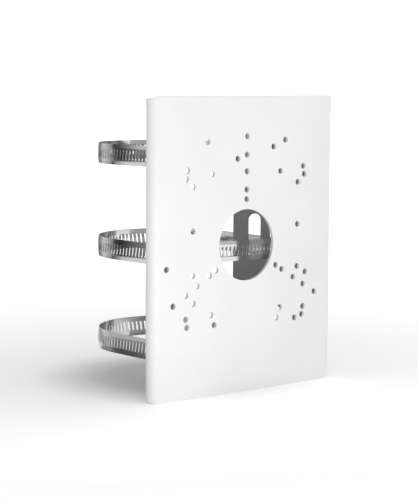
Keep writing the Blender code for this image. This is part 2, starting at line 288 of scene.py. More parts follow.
def combine(solid: Object, tool: Object, operation: str) -> None:
    """Combine a solid with a tool, which is used up: DIFFERENCE, INTERSECT or UNION."""
    apply_modifier(solid, "BOOLEAN", operation=operation, solver="EXACT", object=tool)
    remove(tool)


def finish_piece(obj: Object, body: str, node: str, look: Material) -> None:
    """Dress a piece, put it on its body and let it stand for its CAD node.

    Args:
        obj: The finished piece.
        body: The body that it rides on.
        node: The CAD node that it stands for.
        look: The material.
    """
    obj.data.materials.clear()
    obj.data.materials.append(look)
    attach(obj, body)
    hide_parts(node)
    LOG.info("%s: %d faces on %s, for %s", obj.name, len(obj.data.polygons), body, node)


class NodePaper:
    """A short way to add nodes to a tree."""

    def __init__(self, tree: bpy.types.NodeTree) -> None:
        """Work on a tree."""
        self.tree = tree

    def add(self, kind: str, inputs: Inputs | None = None, **settings: object) -> bpy.types.Node:
        """Add a node.

        Args:
            kind: Blender's name of the node's type.
            inputs: Values and links for its sockets, by the socket's name or number.
            **settings: The node's own properties.

        Returns:
            The node.
        """
        node = self.tree.nodes.new(kind)
        for key, value in settings.items():
            setattr(node, key, value)
        for key, value in (inputs or {}).items():
            self.put(node.inputs[key], value)
        return node

    def put(self, socket: Socket, value: object) -> None:
        """Set a socket to a value, or link an output to it.

        Args:
            socket: The input.
            value: A number, a colour or another node's output.
        """
        if isinstance(value, Socket):
            self.tree.links.new(value, socket)
        else:
            socket.default_value = value


class NodeSheet(NodePaper):
    """A short way to lay out a material's nodes."""

    low_stop = 0.35
    high_stop = 0.65
    low_value = 0.3
    high_value = 0.7

    def __init__(self, name: str) -> None:
        """Start a material with a Principled shader.

        Args:
            name: The material's name.
        """
        self.material = bpy.data.materials.new(name)
        self.material.use_nodes = True
        super().__init__(self.material.node_tree)
        self.shader = self.tree.nodes["Principled BSDF"]

    def dress(self, **values: object) -> Material:
        """Set the shader's own sockets.

        Args:
            **values: Values and links by socket name, with each space written as an underscore.

        Returns:
            The material.
        """
        for key, value in values.items():
            self.put(self.shader.inputs[key.replace("_", " ")], value)
        return self.material

    def coordinates(self, source: str, scale: Triple = (1, 1, 1)) -> Socket:
        """Give scaled texture coordinates.

        Args:
            source: Object or UV.
            scale: How much each axis is multiplied by.

        Returns:
            The coordinates' output.
        """
        texture = self.add("ShaderNodeTexCoord")
        mapping = self.add("ShaderNodeMapping", {"Vector": texture.outputs[source], "Scale": scale})
        return mapping.outputs["Vector"]

    def noise(self, where: Socket, scale: float, detail: float = 3, rough: float = 0.5) -> Socket:
        """Add a noise pattern, with so many features for each unit, and give its value output."""
        inputs = {"Vector": where, "Scale": scale, "Detail": detail, "Roughness": rough}
        return self.add("ShaderNodeTexNoise", inputs).outputs["Fac"]

    def spread(self, value: Socket, low: float, high: float) -> Socket:
        """Map a pattern's middle range to a range of its own.

        Args:
            value: The pattern.
            low: The result where the pattern is low.
            high: The result where the pattern is high.

        Returns:
            The mapped output.
        """
        inputs = {"Value": value, "From Min": self.low_value, "From Max": self.high_value}
        inputs |= {"To Min": low, "To Max": high}
        return self.add("ShaderNodeMapRange", inputs).outputs["Result"]

    def bump(self, height: Socket, depth: float, under: Socket | None = None) -> Socket:
        """Add a bump.

        Args:
            height: The height pattern, from 0 to 1.
            depth: How deep the pattern is, in metres.
            under: A bump that this one lies on.

        Returns:
            The normal output.
        """
        inputs: Inputs = {"Height": height, "Strength": 1.0, "Distance": depth}
        if under is not None:
            inputs["Normal"] = under
        return self.add("ShaderNodeBump", inputs).outputs["Normal"]

    def shades(self, value: Socket, dark: Colour, light: Colour) -> Socket:
        """Mix two colours by a pattern.

        Args:
            value: The pattern.
            dark: The colour where the pattern is low.
            light: The colour where the pattern is high.

        Returns:
            The colour output.
        """
        node = self.add("ShaderNodeValToRGB", {"Fac": value})
        ends = ((self.low_stop, dark), (self.high_stop, light))
        for element, (place, colour) in zip(node.color_ramp.elements, ends):
            element.position = place
            element.color = (*colour, 1)
        return node.outputs["Color"]

    def greys(self, value: Socket, stops: Pairs) -> Socket:
        """Map a value to greys through a list of stops.

        Args:
            value: The value, from 0 to 1.
            stops: Each stop's place and its grey.

        Returns:
            The grey's output.
        """
        node = self.add("ShaderNodeValToRGB", {"Fac": value})
        elements = node.color_ramp.elements
        elements.remove(elements[1])
        for number, (place, grey) in enumerate(stops):
            element = elements.new(place) if number else elements[0]
            element.position = place
            element.color = (grey, grey, grey, 1)
        return node.outputs["Color"]


@dataclass(frozen=True)
class PowderCoat:
    """Fine-textured matt white powder coat."""

    light: Colour = (0.85, 0.85, 0.845)
    dark: Colour = (0.825, 0.825, 0.82)
    cloud_scale: float = 22
    grain_scale: float = 1400
    peel_scale: float = 320
    grain_depth: float = 0.000018
    peel_depth: float = 0.00006
    smooth: float = 0.46
    rough: float = 0.62
    ior: float = 1.48

    def make(self) -> Material:
        """Lay out the material's nodes."""
        sheet = NodeSheet("white_powder_coat")
        where = sheet.coordinates("Object")
        grain = sheet.noise(where, self.grain_scale, detail=2)
        peel = sheet.noise(where, self.peel_scale, detail=1)
        cloud = sheet.noise(where, self.cloud_scale, detail=2)
        return sheet.dress(
            Base_Color=sheet.shades(cloud, self.dark, self.light),
            Roughness=sheet.spread(grain, self.smooth, self.rough),
            Normal=sheet.bump(grain, self.grain_depth, sheet.bump(peel, self.peel_depth)),
            IOR=self.ior,
        )


@dataclass(frozen=True)
class RolledSteel:
    """Bright stainless strip with rolling lines along its length and a slight wave across them."""

    light: Colour = (0.70, 0.695, 0.685)
    dark: Colour = (0.56, 0.56, 0.555)
    line_scale: Triple = (18, 2600, 1)
    wave_scale: Triple = (70, 130, 1)
    line_depth: float = 0.0000025
    wave_depth: float = 0.00003
    smooth: float = 0.07
    rough: float = 0.14

    def make(self) -> Material:
        """Lay out the material's nodes on the strip's own UV map, which is in metres."""
        sheet = NodeSheet("rolled_stainless_band")
        lines = sheet.noise(sheet.coordinates("UV", self.line_scale), 1, detail=4, rough=0.6)
        wave = sheet.noise(sheet.coordinates("UV", self.wave_scale), 1, detail=1)
        return sheet.dress(
            Base_Color=sheet.shades(lines, self.dark, self.light),
            Roughness=sheet.spread(lines, self.smooth, self.rough),
            Normal=sheet.bump(lines, self.line_depth, sheet.bump(wave, self.wave_depth)),
            Metallic=1,
        )


@dataclass(frozen=True)
class PressedSteel:
    """Satin steel with faint level drawing marks, for the pressings and, brighter, the screws."""

    name: str = "pressed_stainless"
    light: Colour = (0.74, 0.735, 0.725)
    dark: Colour = (0.60, 0.60, 0.595)
    smooth: float = 0.22
    rough: float = 0.36
    mark_scale: Triple = (60, 60, 1600)
    dent_scale: float = 420
    mark_depth: float = 0.000003
    dent_depth: float = 0.00002

    def make(self) -> Material:
        """Lay out the material's nodes."""
        sheet = NodeSheet(self.name)
        marks = sheet.noise(sheet.coordinates("Object", self.mark_scale), 1, detail=4, rough=0.6)
        dents = sheet.noise(sheet.coordinates("Object"), self.dent_scale, detail=2)
        return sheet.dress(
            Base_Color=sheet.shades(dents, self.dark, self.light),
            Roughness=sheet.spread(marks, self.smooth, self.rough),
            Normal=sheet.bump(marks, self.mark_depth, sheet.bump(dents, self.dent_depth)),
            Metallic=1,
        )


@dataclass(frozen=True)
class StudioPaper:
    """Pale paper for the floor with a painted glow, faint beside the object where shade falls, rising
    until it fades into the white surround far away.
    """

    colour: Colour = (0.92, 0.92, 0.92)
    # Painted glow of the floor by distance from the object's axis: faint near the object, full white far
    # out
    glows: Pairs = ((0.05, 0.02), (0.10, 0.34), (0.5, 0.6), (1.5, 1.0))
    fibre_scale: float = 240
    fibre_depth: float = 0.00002
    smooth: float = 0.85
    rough: float = 0.95

    def make(self) -> Material:
        """Lay out the material's nodes."""
        sheet = NodeSheet("studio_paper")
        where = sheet.coordinates("Object")
        fibres = sheet.noise(where, self.fibre_scale, detail=3)
        reach = sheet.add("ShaderNodeVectorMath", {0: where}, operation="LENGTH")
        furthest = self.glows[-1][0]
        share = sheet.add("ShaderNodeMath", {0: reach.outputs["Value"], 1: furthest}, operation="DIVIDE")
        stops = tuple((distance / furthest, glow) for distance, glow in self.glows)
        return sheet.dress(
            Base_Color=(*self.colour, 1),
            Roughness=sheet.spread(fibres, self.smooth, self.rough),
            Normal=sheet.bump(fibres, self.fibre_depth),
            Specular_IOR_Level=0,
            # Painted light: the paper glows by itself, though it is no lamp
            Emission_Color=WHITE,
            Emission_Strength=sheet.greys(share.outputs["Value"], stops),
        )


@dataclass
class FoldedSheet:
    """The bracket's sheet: a flat front with a wing folded back behind each side."""

    width: float = 0.148
    height: float = 0.184
    thickness: float = 0.002
    bend_radius: float = 0.005
    wing_angle: float = math.radians(31)
    wing_length: float = 0.0573
    edge_drop: float = 0.0016
    bend_steps: int = 28
    drill_sides: int = 32
    cable_sides: int = 128
    punch_sides: int = 48
    tool_depth: float = 0.006
    edge_round: float = 0.00035
    cable_hole: float = 0.0444
    screw_hole: float = 0.0038
    slot_width: float = 0.008
    slot_height: float = 0.0295
    row_pitch: float = 0.0605
    row_lift: float = 0.0009
    inner_slot_to_edge: float = 0.0139
    slot_spacing: float = 0.0142
    circles: Pairs = (
        (0.0285, 90),
        (0.0344, 90),
        (0.04575, 90),
        (0.0560, 90),
        (0.0674, 90),
        (0.0542, 98),
        (0.0644, 70),
    )
    rectangles: Pairs = ((0.0953, 0.0953), (0.0970, 0.0851))
    pairs: Pairs = (
        (0.0638, 0.06465),
        (0.0562, 0.04505),
        (0.0571, -0.0415),
        (0.0518, -0.04795),
        (0.0861, 0.01075 + 0.0269),
        (0.0861, 0.01075),
        (0.0861, 0.01075 - 0.0269),
    )

    @property
    def middle_radius(self) -> float:
        """Radius of the bend's middle surface."""
        return self.bend_radius - self.thickness / 2

    @property
    def bend_centre(self) -> Vector:
        """Centre of the right bend seen from above, from the front's middle surface."""
        return Vector((self.width / 2 - self.bend_radius, self.middle_radius))

    @property
    def wing_direction(self) -> Vector:
        """The way the right wing runs from its bend, seen from above."""
        return Vector((-math.cos(self.wing_angle), math.sin(self.wing_angle)))

    @property
    def wing_normal(self) -> Vector:
        """The way the right wing's outer face looks, seen from above."""
        return Vector((math.sin(self.wing_angle), math.cos(self.wing_angle)))

    @property
    def bend_sweep(self) -> float:
        """How far the sheet turns at each bend."""
        return math.pi - self.wing_angle

    @property
    def wing_start(self) -> Vector:
        """Where the right wing's middle surface leaves the bend."""
        return self.on_bend(self.bend_sweep)

    def on_bend(self, turned: float) -> Vector:
        """Give the point of the right bend's middle surface where the sheet has turned so far."""
        return self.bend_centre + self.middle_radius * Vector((math.sin(turned), -math.cos(turned)))

    def on_wing(self, run: float) -> Vector:
        """Give the point of the right wing's middle surface at a distance from the bend's end."""
        return self.wing_start + self.wing_direction * run

    def slot_runs(self) -> tuple[float, float]:
        """Give how far the inner and the outer slots lie from the bend's end."""
        inner = self.wing_length - self.inner_slot_to_edge
        return inner, inner - self.slot_spacing

    def slot_height_of(self, level: Level) -> float:
        """Give the height of the middles of the slots that hold one clamp, over the lower edge."""
        return self.height / 2 + self.row_lift + level.value * self.row_pitch

    def hole_centres(self) -> list[Vector]:
        """Give the screw holes' centres across the front, from the cable hole's centre."""
        centres = []
        for radius, first in self.circles:
            for turn in (0, 120, 240):
                angle = math.radians(first + turn)
                centres.append(radius * Vector((math.cos(angle), math.sin(angle))))
        for across, up in self.rectangles:
            centres += [Vector((x * across, z * up)) / 2 for x in (-1, 1) for z in (-1, 1)]
        for across, up in self.pairs:
            centres += [Vector((side * across / 2, up)) for side in (-1, 1)]
        return centres

    def fold(self) -> Object:
        """Fold the right half from a flat plane: spin its edge round the bend, then pull out the wing."""
        flat = self.bend_centre.x
        bpy.ops.mesh.primitive_plane_add(size=1, rotation=UPRIGHT, location=(flat / 2, 0, self.height / 2))
        sheet = start_piece("bracket_sheet")
        bake_place((flat, self.height, 1))
        edit()
        pick(sheet, "EDGE", lambda middle: middle.x > flat - WELD)
        centre = (self.bend_centre.x, self.bend_centre.y, self.height / 2)
        bpy.ops.mesh.spin(steps=self.bend_steps, angle=-self.bend_sweep, center=centre, axis=(0, 0, 1))
        end = self.wing_start
        pick(sheet, "EDGE", lambda middle: (middle.xy - end).length < WELD)
        reach = self.wing_direction * self.wing_length
        pull(reach.x, reach.y)
        self.trim_ends(sheet)
        edit(False)
        return sheet

    def trim_ends(self, sheet: Object) -> None:
        """Draw the sheet's ends in along the bend, ring by ring, so that the wings are a little shorter.

        Args:
            sheet: The folded half, in edit mode.
        """
        shares = [step / self.bend_steps for step in range(1, self.bend_steps + 1)]
        spots = [(share, self.on_bend(self.bend_sweep * share)) for share in shares]
        for share, spot in (*spots, (1, self.on_wing(self.wing_length))):
            drop = self.edge_drop * math.sin(share * math.pi / 2)
            for end, way in ((0, 1), (self.height, -1)):
                pick(sheet, "VERT", lambda v: (v.xy - spot).length < WELD and abs(v.z - end) < WELD)
                shift(z=way * drop)

    def drill(self, centre: Vector, diameter: float, sides: int) -> Object:
        """Make a drill for a hole through the front.

        Args:
            centre: The hole's centre from the cable hole's.
            diameter: The hole's width.
            sides: The drill's faces.

        Returns:
            The drill.
        """
        bpy.ops.mesh.primitive_cylinder_add(
            vertices=sides,
            radius=diameter / 2,
            depth=self.tool_depth,
            location=(centre.x, 0, self.height / 2 + centre.y),
            rotation=UPRIGHT,
        )
        return start_piece("drill")

    def slot_punch(self, run: float, height: float, side: int) -> Object:
        """Make a round-ended punch for a slot through a wing.

        Args:
            run: The slot's distance from the bend's end.
            height: The height of its middle.
            side: 1 for the right wing, -1 for the left one.

        Returns:
            The punch.
        """
        spot = self.on_wing(run)
        bpy.ops.mesh.primitive_cylinder_add(
            vertices=self.punch_sides, radius=self.slot_width / 2, depth=self.tool_depth
        )
        punch = start_piece("punch")
        stretch = (self.slot_height - self.slot_width) / 2
        edit()
        for way in (-1, 1):
            pick(punch, "VERT", lambda v: v.y * way > WELD)
            shift(y=way * stretch)
        edit(False)
        along = Vector((side * self.wing_direction.x, self.wing_direction.y, 0))
        up = Vector((0, 0, 1))
        turn = Matrix((along, up, along.cross(up))).transposed().to_4x4()
        apply_place(punch, Matrix.Translation((side * spot.x, spot.y, height)) @ turn)
        return punch

    def cut(self, sheet: Object, tools: list[Object]) -> None:
        """Cut the sheet with several tools at once, which are used up."""
        join(tools[0], tools[1:])
        combine(sheet, tools[0], "DIFFERENCE")

    def build(self, front_y: float, look: Material) -> None:
        """Fold, mirror, thicken, cut and dress the sheet.

        Args:
            front_y: Where the front's outer face lies.
            look: The powder coat.
        """
        sheet = self.fold()
        apply_modifier(sheet, "MIRROR", use_axis=(True, False, False), merge_threshold=WELD)
        thicken(sheet, self.thickness)
        punches = [
            self.slot_punch(run, self.slot_height_of(level), side)
            for level in Level
            for run in self.slot_runs()
            for side in (-1, 1)
        ]
        self.cut(sheet, punches)
        drills = [self.drill(centre, self.screw_hole, self.drill_sides) for centre in self.hole_centres()]
        drills.append(self.drill(Vector((0, 0)), self.cable_hole, self.cable_sides))
        self.cut(sheet, drills)
        soften_edges(sheet, self.edge_round)
        sheet.data.transform(Matrix.Translation((0, front_y + self.thickness / 2, 0)))
        finish_piece(sheet, "bracket", "mounting_plate", look)


@dataclass(frozen=True)
class Stretch:
    """A stretch of the band's middle line from above: an arc, or a straight run where the radius is 0."""

    start: Vector
    length: float
    centre: Vector = field(default_factory=lambda: Vector((0, 0)))
    radius: float = 0
    climb: float = 0
    first: float = 0
    sweep: float = 0
    direction: Vector = field(default_factory=lambda: Vector((0, 0)))
    facing: float = 0
    ripple: float = 0

    def at(self, distance: float) -> Vector:
        """Give the point at a distance along the stretch.

        Args:
            distance: Metres from the stretch's start.

        Returns:
            The point from the pole's axis.
        """
        part = distance / self.length
        if self.radius:
            radius = self.radius + self.climb * part * part * (3 - 2 * part)
            return self.centre + radius * unit(self.first + self.sweep * part)
        wave = (1 - math.cos(4 * math.pi * part)) / 2
        return self.start + self.direction * distance + self.ripple * wave * unit(self.facing)


def unit(angle: float) -> Vector:
    """Give the direction at an angle from +X, seen from above."""
    return Vector((math.cos(angle), math.sin(angle)))


def arc(centre: Vector, radius: float, first: float, last: float, climb: float = 0) -> Stretch:
    """Make a stretch that turns anticlockwise round a centre.

    Args:
        centre: The arc's centre.
        radius: The radius at its start.
        first: The angle of its start.
        last: The angle of its end.
        climb: How much the radius grows on the way.

    Returns:
        The stretch.
    """
    sweep = last - first
    length = (radius + climb / 2) * sweep
    start = centre + radius * unit(first)
    return Stretch(start, length, centre, radius, climb, first, sweep)


def run_between(before: Stretch, after: Stretch, facing: float, ripple: float = 0) -> Stretch:
    """Make the straight run that joins two arcs.

    Args:
        before: The arc that the run leaves.
        after: The arc that the run meets.
        facing: The angle that the band's outer face looks to.
        ripple: How far the run bows out twice on its way.

    Returns:
        The stretch.
    """
    start = before.at(before.length)
    gap = after.start - start
    return Stretch(start, gap.length, direction=gap.normalized(), facing=facing, ripple=ripple)


@dataclass
class BandClamp:
    """A worm-drive clamp: perforated band, saddle, housing and worm screw."""

    sheet: FoldedSheet
    pole_diameter: float = 0.0889
    loop_slack: float = 0.0013
    width: float = 0.013
    thickness: float = 0.0007
    layer_gap: float = 0.00035
    corner_radius: float = 0.0045
    slot_offset: float = 0.0018
    rest_gap: float = 0.0004
    ripple: float = 0.0014
    head_length: float = 0.006
    tail_length: float = 0.018
    plain_length: float = 0.085
    plain_step: float = 0.0009
    curve_step: float = 0.0003
    pitch: float = 0.003175
    perforation_length: float = 0.0061
    perforation_width: float = 0.0014
    perforation_corner: float = 0.0003
    tail_corner: float = 0.0015
    band_round: float = 0.00012
    edge_strip: float = 0.0029
    edge_turn: float = 0.0003
    bearing: float = math.radians(42)
    lift_start: float = math.radians(43)
    lift_end: float = math.radians(14)
    housing_length: float = 0.014
    housing_sheet: float = 0.0007
    saddle_sheet: float = 0.0006
    saddle_flange: float = 0.0036
    fit_gap: float = 0.0003
    saddle_columns: int = 18
    shoulder_radius: float = 0.0011
    shoulder_steps: int = 8
    tunnel_opening: float = math.radians(26)
    tunnel_steps: int = 26
    housing_round: float = 0.00015
    worm_radius: float = 0.0036
    worm_root: float = 0.0026
    worm_length: float = 0.0125
    worm_sides: int = 48
    worm_rings: int = 96
    flank_steepness: float = 1.6
    collar_length: float = 0.001
    collar_sides: int = 64
    collar_round: float = 0.0002
    hex_across: float = 0.007
    hex_length: float = 0.005
    hex_chamfer: float = 0.0005
    chamfer_angle: float = math.radians(60)
    chamfer_sides: int = 96
    hex_round: float = 0.00008
    driver_width: float = 0.0011
    driver_depth: float = 0.0018

    @property
    def pole_y(self) -> float:
        """Where the pole's axis lies behind the front's middle surface."""
        radius = self.pole_diameter / 2
        to_face = self.sheet.wing_normal * self.sheet.thickness / 2
        corner = self.sheet.on_wing(self.sheet.wing_length) + to_face
        return corner.y + math.sqrt(radius**2 - corner.x**2)

    @property
    def loop_radius(self) -> float:
        """Radius of the loop's middle line where the band is single."""
        return self.pole_diameter / 2 + self.loop_slack + self.thickness / 2

    @property
    def outer_radius(self) -> float:
        """Radius of the loop's middle line where the tail lies over the head."""
        return self.loop_radius + self.thickness + self.layer_gap

    @property
    def depth(self) -> float:
        """The whole bracket's depth, from the front's face to the back of the loops."""
        return self.pole_y + self.loop_radius + self.thickness / 2 + self.sheet.thickness / 2

    @property
    def saddle_radius(self) -> float:
        """Radius of the saddle's middle surface."""
        return self.loop_radius - self.thickness / 2 - self.fit_gap - self.saddle_sheet / 2

    @property
    def saddle_half_width(self) -> float:
        """Half the width between the middle surfaces of the saddle's flanges."""
        return self.width / 2 + self.fit_gap + self.saddle_sheet / 2

    @property
    def worm_axis(self) -> float:
        """The worm axis's distance from the pole's axis."""
        return self.outer_radius + self.thickness / 2 + self.fit_gap + self.worm_radius

    @property
    def collar_radius(self) -> float:
        """Radius of the screw's collars."""
        return self.worm_radius + 2 * self.fit_gap

    @property
    def slant(self) -> float:
        """The lean of the perforations, which follows the worm's thread."""
        return math.atan(self.pitch / (math.pi * (self.worm_radius + self.worm_root)))

    def height_of(self, level: Level) -> float:
        """Give the height of a band's middle, with the band lying on the lower ends of its slots.

        Args:
            level: The clamp.

        Returns:
            The height over the sheet's lower edge.
        """
        half_sheet = self.sheet.thickness / 2
        reach = self.slot_offset + self.thickness / 2 + half_sheet**2 / (2 * self.corner_radius)
        end = self.sheet.slot_width / 2
        rise = end - math.sqrt(end**2 - reach**2)
        foot = self.sheet.slot_height_of(level) - self.sheet.slot_height / 2
        return foot + rise + self.rest_gap + self.width / 2

    def path(self) -> list[Stretch]:
        """Give the band's middle line from head to tail, mirrored so that it turns anticlockwise."""
        run = self.sheet.slot_runs()[1] + self.slot_offset
        direction = self.sheet.wing_direction
        corner = self.sheet.on_wing(run) + direction * self.corner_radius
        left, right = (Vector((side * corner.x, corner.y - self.pole_y)) for side in (-1, 1))
        axis = Vector((0, 0))
        loop = self.loop_radius
        housing = math.pi - self.bearing
        leaves = self.tangent_facing(axis, loop, left, self.corner_radius)
        front = 1.5 * math.pi
        returns = self.tangent_facing(right, self.corner_radius, axis, loop)
        again = housing + FULL_TURN
        arcs = [
            arc(axis, loop, housing - self.head_length / loop, leaves),
            arc(left, self.corner_radius, leaves, front),
            arc(right, self.corner_radius, front, returns),
            arc(axis, loop, returns, again - self.lift_start),
        ]
        tail = again + self.tail_length / self.outer_radius
        return [
            arcs[0],
            run_between(arcs[0], arcs[1], leaves),
            arcs[1],
            run_between(arcs[1], arcs[2], front, self.ripple),
            arcs[2],
            run_between(arcs[2], arcs[3], returns),
            arcs[3],
            arc(axis, loop, again - self.lift_start, again - self.lift_end, self.outer_radius - loop),
            arc(axis, self.outer_radius, again - self.lift_end, tail),
        ]

    @staticmethod
    def tangent_facing(centre: Vector, radius: float, next_centre: Vector, next_radius: float) -> float:
        """Give the way the outer face looks on the straight run between two circles.

        Args:
            centre: The first circle's centre.
            radius: The first circle's radius.
            next_centre: The second circle's centre.
            next_radius: The second circle's radius.

        Returns:
            The angle, from 0 to a full turn.
        """
        gap = next_centre - centre
        heading = math.atan2(gap.y, gap.x) + math.asin((radius - next_radius) / gap.length)
        return (heading - math.pi / 2) % FULL_TURN

    def wrap(self, strip: Object, stretches: list[Stretch]) -> None:
        """Bend a flat strip along a middle line.

        Args:
            strip: The strip, which starts at X = 0.
            stretches: The middle line's stretches.
        """
        points = [stretches[0].start]
        for stretch in stretches:
            count = math.ceil(stretch.length / self.curve_step)
            points += [stretch.at(stretch.length * i / count) for i in range(1, count + 1)]
        curve = bpy.data.curves.new("band_path", "CURVE")
        curve.dimensions = "3D"
        curve.twist_mode = "Z_UP"
        spline = curve.splines.new("POLY")
        spline.points.add(len(points) - 1)
        for place, point in zip(spline.points, points):
            place.co = (point.x, point.y, 0, 1)
        guide = add_object("band_path", curve)
        apply_modifier(strip, "CURVE", object=guide, deform_axis="POS_X")
        remove(guide)

    def flat_grid(self, name: str, start: float, end: float, columns: int) -> Object:
        """Lay a flat piece of strip in the XZ plane, with rows at the perforations' ends and the edges.

        Args:
            name: The piece's name.
            start: Where it starts along the band.
            end: Where it ends.
            columns: How many faces it has along the band.

        Returns:
            The piece, in edit mode.
        """
        bpy.ops.mesh.primitive_grid_add(
            x_subdivisions=columns,
            y_subdivisions=5,
            size=1,
            rotation=UPRIGHT,
            location=((start + end) / 2, 0, 0),
        )
        strip = start_piece(name)
        bake_place((end - start, self.width, 1))
        edit()
        half = self.width / 2
        # The grid's inner lines are laid at 0.2 and 0.6 of the half width
        rows = ((0.6 * half, half - self.edge_strip), (0.2 * half, self.perforation_length / 2))
        for laid, wanted in rows:
            for way in (-1, 1):
                pick(strip, "VERT", lambda v: abs(v.z - way * laid) < WELD)
                shift(z=way * (wanted - laid))
        pick(strip, "VERT", lambda v: abs(v.z) > half - WELD)
        shift(y=self.edge_turn)
        return strip

    def plain_strip(self, start: float, end: float) -> Object:
        """Lay a flat strip without perforations.

        Args:
            start: Where it starts along the band.
            end: Where it ends.

        Returns:
            The strip, lying in the XZ plane.
        """
        strip = self.flat_grid("strip", start, end, math.ceil((end - start) / self.plain_step))
        edit(False)
        return strip

    def perforated_cell(self, centre: float) -> Object:
        """Punch one pitch of the strip: a leaning slot with rounded corners.

        Args:
            centre: Where the slot's centre lies along the band.

        Returns:
            The cell, lying in the XZ plane.
        """
        cell = self.flat_grid("cell", centre - self.pitch / 2, centre + self.pitch / 2, 4)
        column_width = self.pitch / 4
        half = self.perforation_width / 2
        slot_end = self.perforation_length / 2
        lean = math.tan(self.slant) * slot_end
        for column in (-1, 0, 1):
            for row in (-1, 1):
                spot = Vector((centre + column * column_width, 0, row * slot_end))
                pick(cell, "VERT", lambda v: (v - spot).length < WELD)
                shift(column * (half - column_width) - row * lean)
        pick(cell, "FACE", lambda m: abs(m.x - centre) < half and abs(m.z) < slot_end / 2)
        bpy.ops.mesh.delete(type="FACE")
        pick(
            cell,
            "VERT",
            lambda v: abs(abs(v.z) - slot_end) < WELD
            and WELD < abs(v.x - centre + math.copysign(lean, v.z)) < half + WELD,
        )
        bpy.ops.mesh.bevel(offset=self.perforation_corner, segments=3, affect="VERTICES")
        edit(False)
        return cell

    def round_tail(self, strip: Object, length: float) -> None:
        """Round the two corners of the band's tail.

        Args:
            strip: The flat band.
            length: Where the tail ends.
        """
        activate(strip)
        edit()
        half = self.width / 2
        pick(strip, "VERT", lambda v: v.x > length - WELD and abs(v.z) > half - WELD)
        bpy.ops.mesh.bevel(offset=self.tail_corner, segments=5, affect="VERTICES")
        edit(False)

    def map_strip(self, strip: Object) -> None:
        """Give the flat strip a UV map in metres, along and across it.

        Args:
            strip: The flat band.
        """
        layer = strip.data.uv_layers.active or strip.data.uv_layers.new(name="strip")
        for loop in strip.data.loops:
            co = strip.data.vertices[loop.vertex_index].co
            layer.data[loop.index].uv = (co.x, co.z)

    def band(self) -> Object:
        """Make the band flat, as it is stamped, then wrap it along its path."""
        stretches = self.path()
        length = sum(stretch.length for stretch in stretches)
        count = int((length - self.plain_length) / self.pitch)
        first = length - (count + 0.5) * self.pitch + self.perforation_width / 2
        cell = self.perforated_cell(first)
        apply_modifier(
            cell,
            "ARRAY",
            count=count,
            use_relative_offset=False,
            use_constant_offset=True,
            constant_offset_displace=(self.pitch, 0, 0),
        )
        cells_end = first + (count - 0.5) * self.pitch
        strips = [self.plain_strip(0, first - self.pitch / 2), self.plain_strip(cells_end, length)]
        join(cell, strips)
        cell.name = "band_pattern"
        heal(cell)
        self.round_tail(cell, length)
        self.map_strip(cell)
        self.wrap(cell, stretches)
        cell.data.transform(Matrix.Diagonal((-1, 1, 1, 1)))
        thicken(cell, self.thickness)
        soften_edges(cell, self.band_round)
        return cell

    def housing(self) -> Object:
        """Press the housing: a tunnel over the worm, shoulders, and skirts down past the saddle."""
        radius = self.worm_radius + self.fit_gap + self.housing_sheet / 2
        half_width = self.saddle_half_width + self.saddle_sheet / 2 + self.fit_gap + self.housing_sheet / 2
        sweep = math.pi / 2 + self.tunnel_opening
        bpy.ops.mesh.primitive_circle_add(vertices=4, radius=radius, rotation=UPRIGHT)
        cover = start_piece("housing_pattern")
        bake_place()
        edit()
        pick(cover, "VERT", lambda v: v.x < radius - WELD)
        bpy.ops.mesh.delete(type="VERT")
        pick(cover, "VERT", lambda v: True)
        bpy.ops.mesh.spin(steps=self.tunnel_steps, angle=sweep, center=(0, 0, 0), axis=(0, 1, 0))
        end = Vector((radius * math.cos(sweep), 0, radius * math.sin(sweep)))
        pick(cover, "VERT", lambda v: (v - end).length < WELD)
        shoulder_z = half_width - self.shoulder_radius
        pull(z=shoulder_z - end.z)
        centre = Vector((end.x - self.shoulder_radius, 0, shoulder_z))
        bpy.ops.mesh.spin(steps=self.shoulder_steps, angle=math.pi / 2, center=centre, axis=(0, 1, 0))
        side_end = centre + Vector((0, 0, self.shoulder_radius))
        pick(cover, "VERT", lambda v: (v - side_end).length < WELD)
        skirt = self.saddle_radius - self.worm_axis - side_end.x
        pull(skirt)
        bpy.ops.mesh.select_all(action="SELECT")
        shift(y=-self.housing_length / 2)
        pull(y=self.housing_length)
        edit(False)
        apply_modifier(cover, "MIRROR", use_axis=(False, False, True), merge_threshold=WELD)
        heal(cover)
        thicken(cover, self.housing_sheet)
        soften_edges(cover, self.housing_round)
        return cover

    def saddle(self) -> Object:
        """Press the saddle: a channel that is bent to the loop, with a flange up each edge of the band."""
        length = self.housing_length
        bpy.ops.mesh.primitive_grid_add(
            x_subdivisions=self.saddle_columns, y_subdivisions=2, size=1, rotation=UPRIGHT
        )
        channel = start_piece("saddle_pattern")
        bake_place((length, 2 * self.saddle_half_width, 1))
        edit()
        half = self.saddle_half_width
        pick(channel, "EDGE", lambda m: abs(m.z) > half - WELD)
        pull(y=-self.saddle_flange)
        edit(False)
        half_bow = length / 2 / self.saddle_radius
        bow = arc(Vector((0, 0)), self.saddle_radius, -half_bow, half_bow)
        channel.data.transform(Matrix.Translation((length / 2, 0, 0)))
        self.wrap(channel, [bow])
        heal(channel)
        thicken(channel, self.saddle_sheet)
        soften_edges(channel, self.band_round)
        channel.data.transform(Matrix.Translation((-self.worm_axis, 0, 0)))
        return channel

    def turned(self, radius: float, start: float, end: float, sides: int, roll: float = 0) -> Object:
        """Turn one plain length of the screw.

        Args:
            radius: Its radius.
            start: Where it starts along the screw.
            end: Where it ends.
            sides: Its faces.
            roll: How far its faces are turned round the axis.

        Returns:
            The length.
        """
        bpy.ops.mesh.primitive_cylinder_add(
            vertices=sides,
            radius=radius,
            depth=end - start,
            location=(0, (start + end) / 2, 0),
            rotation=(math.pi / 2, roll, 0),
        )
        length = start_piece("turned")
        bake_place()
        return length

